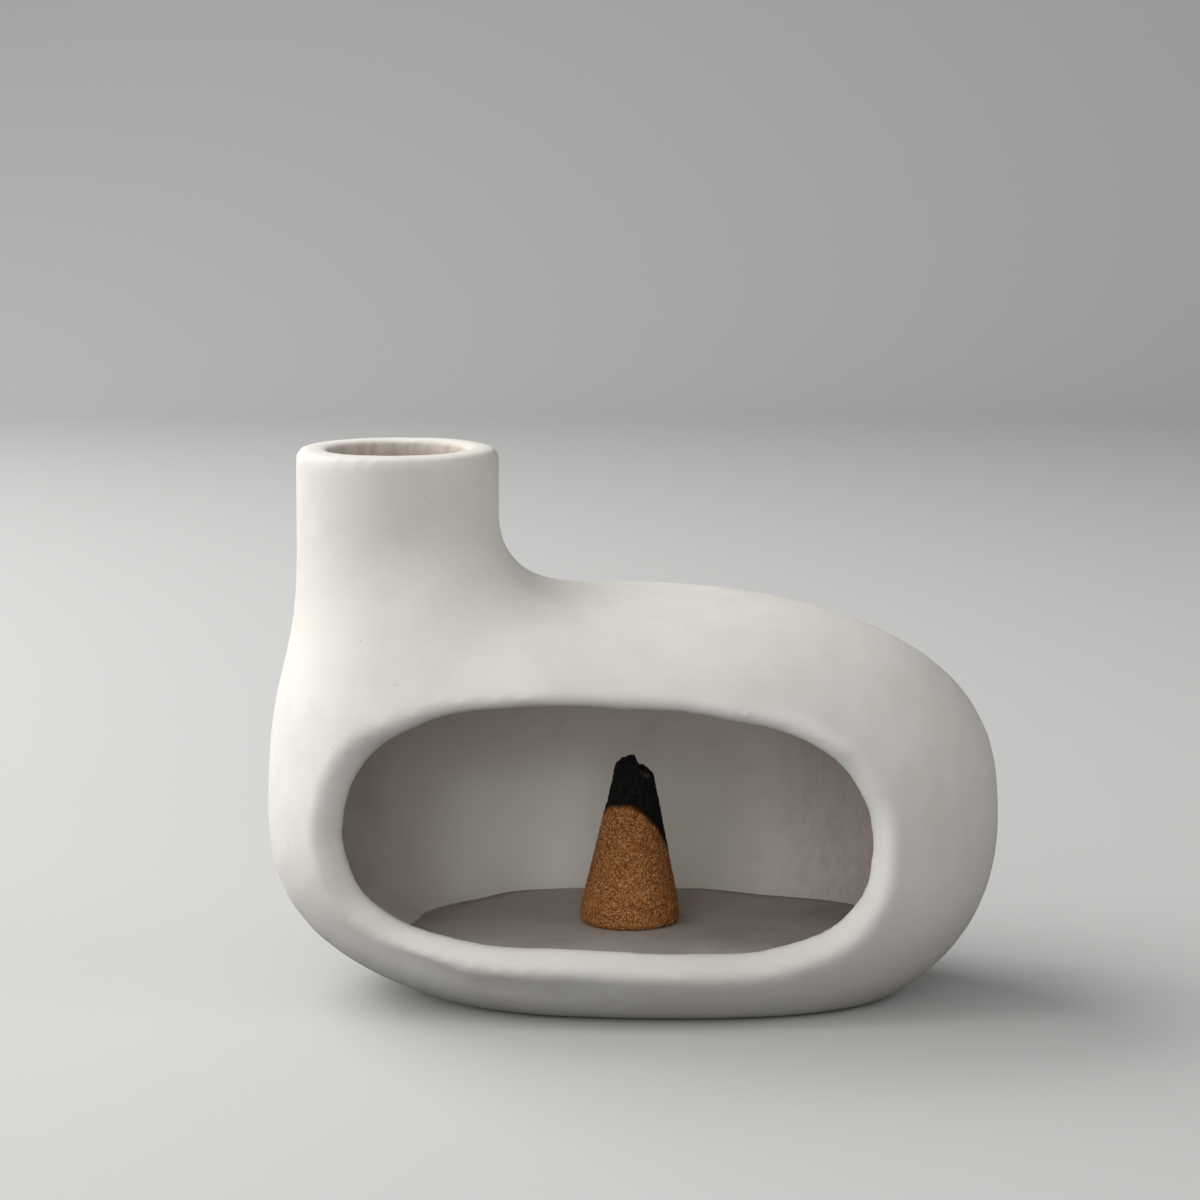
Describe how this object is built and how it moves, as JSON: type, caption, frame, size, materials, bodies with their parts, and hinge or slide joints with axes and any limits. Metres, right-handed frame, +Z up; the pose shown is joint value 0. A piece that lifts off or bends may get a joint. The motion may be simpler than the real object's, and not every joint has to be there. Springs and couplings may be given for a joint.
{
  "type": "palo santo holder",
  "caption": "Hand-built matte clay incense holder: egg-shaped smoke chamber with a wide rounded mouth, a round chimney at one end and a loose, part-burnt incense cone on its floor.",
  "frame": {"origin": "on the table, under the middle of the object's outer box", "axes": "+X along the chamber, away from the chimney end; +Y to the back, away from the mouth; +Z up"},
  "size_m": [0.1084, 0.0622, 0.0809],
  "materials": {
    "bisque_clay": "matte unglazed off-white clay, fine grain",
    "smoked_clay": "matte unglazed clay, greyed by smoke",
    "pressed_incense": "matte pressed wood powder, granular",
    "char": "matte charcoal, crumbly"
  },
  "bodies": {
    "vessel": {"vessel_shell": "bisque_clay", "floor_slab": "smoked_clay"},
    "cone": {"incense_cone": "pressed_incense", "charred_tip": "char"}
  },
  "joints": [
    {"name": "cone_draw_out", "type": "slide", "parent": "vessel", "child": "cone", "axis": [0, -0.98, 0.199], "range_m": [0, 0.06]}
  ]
}
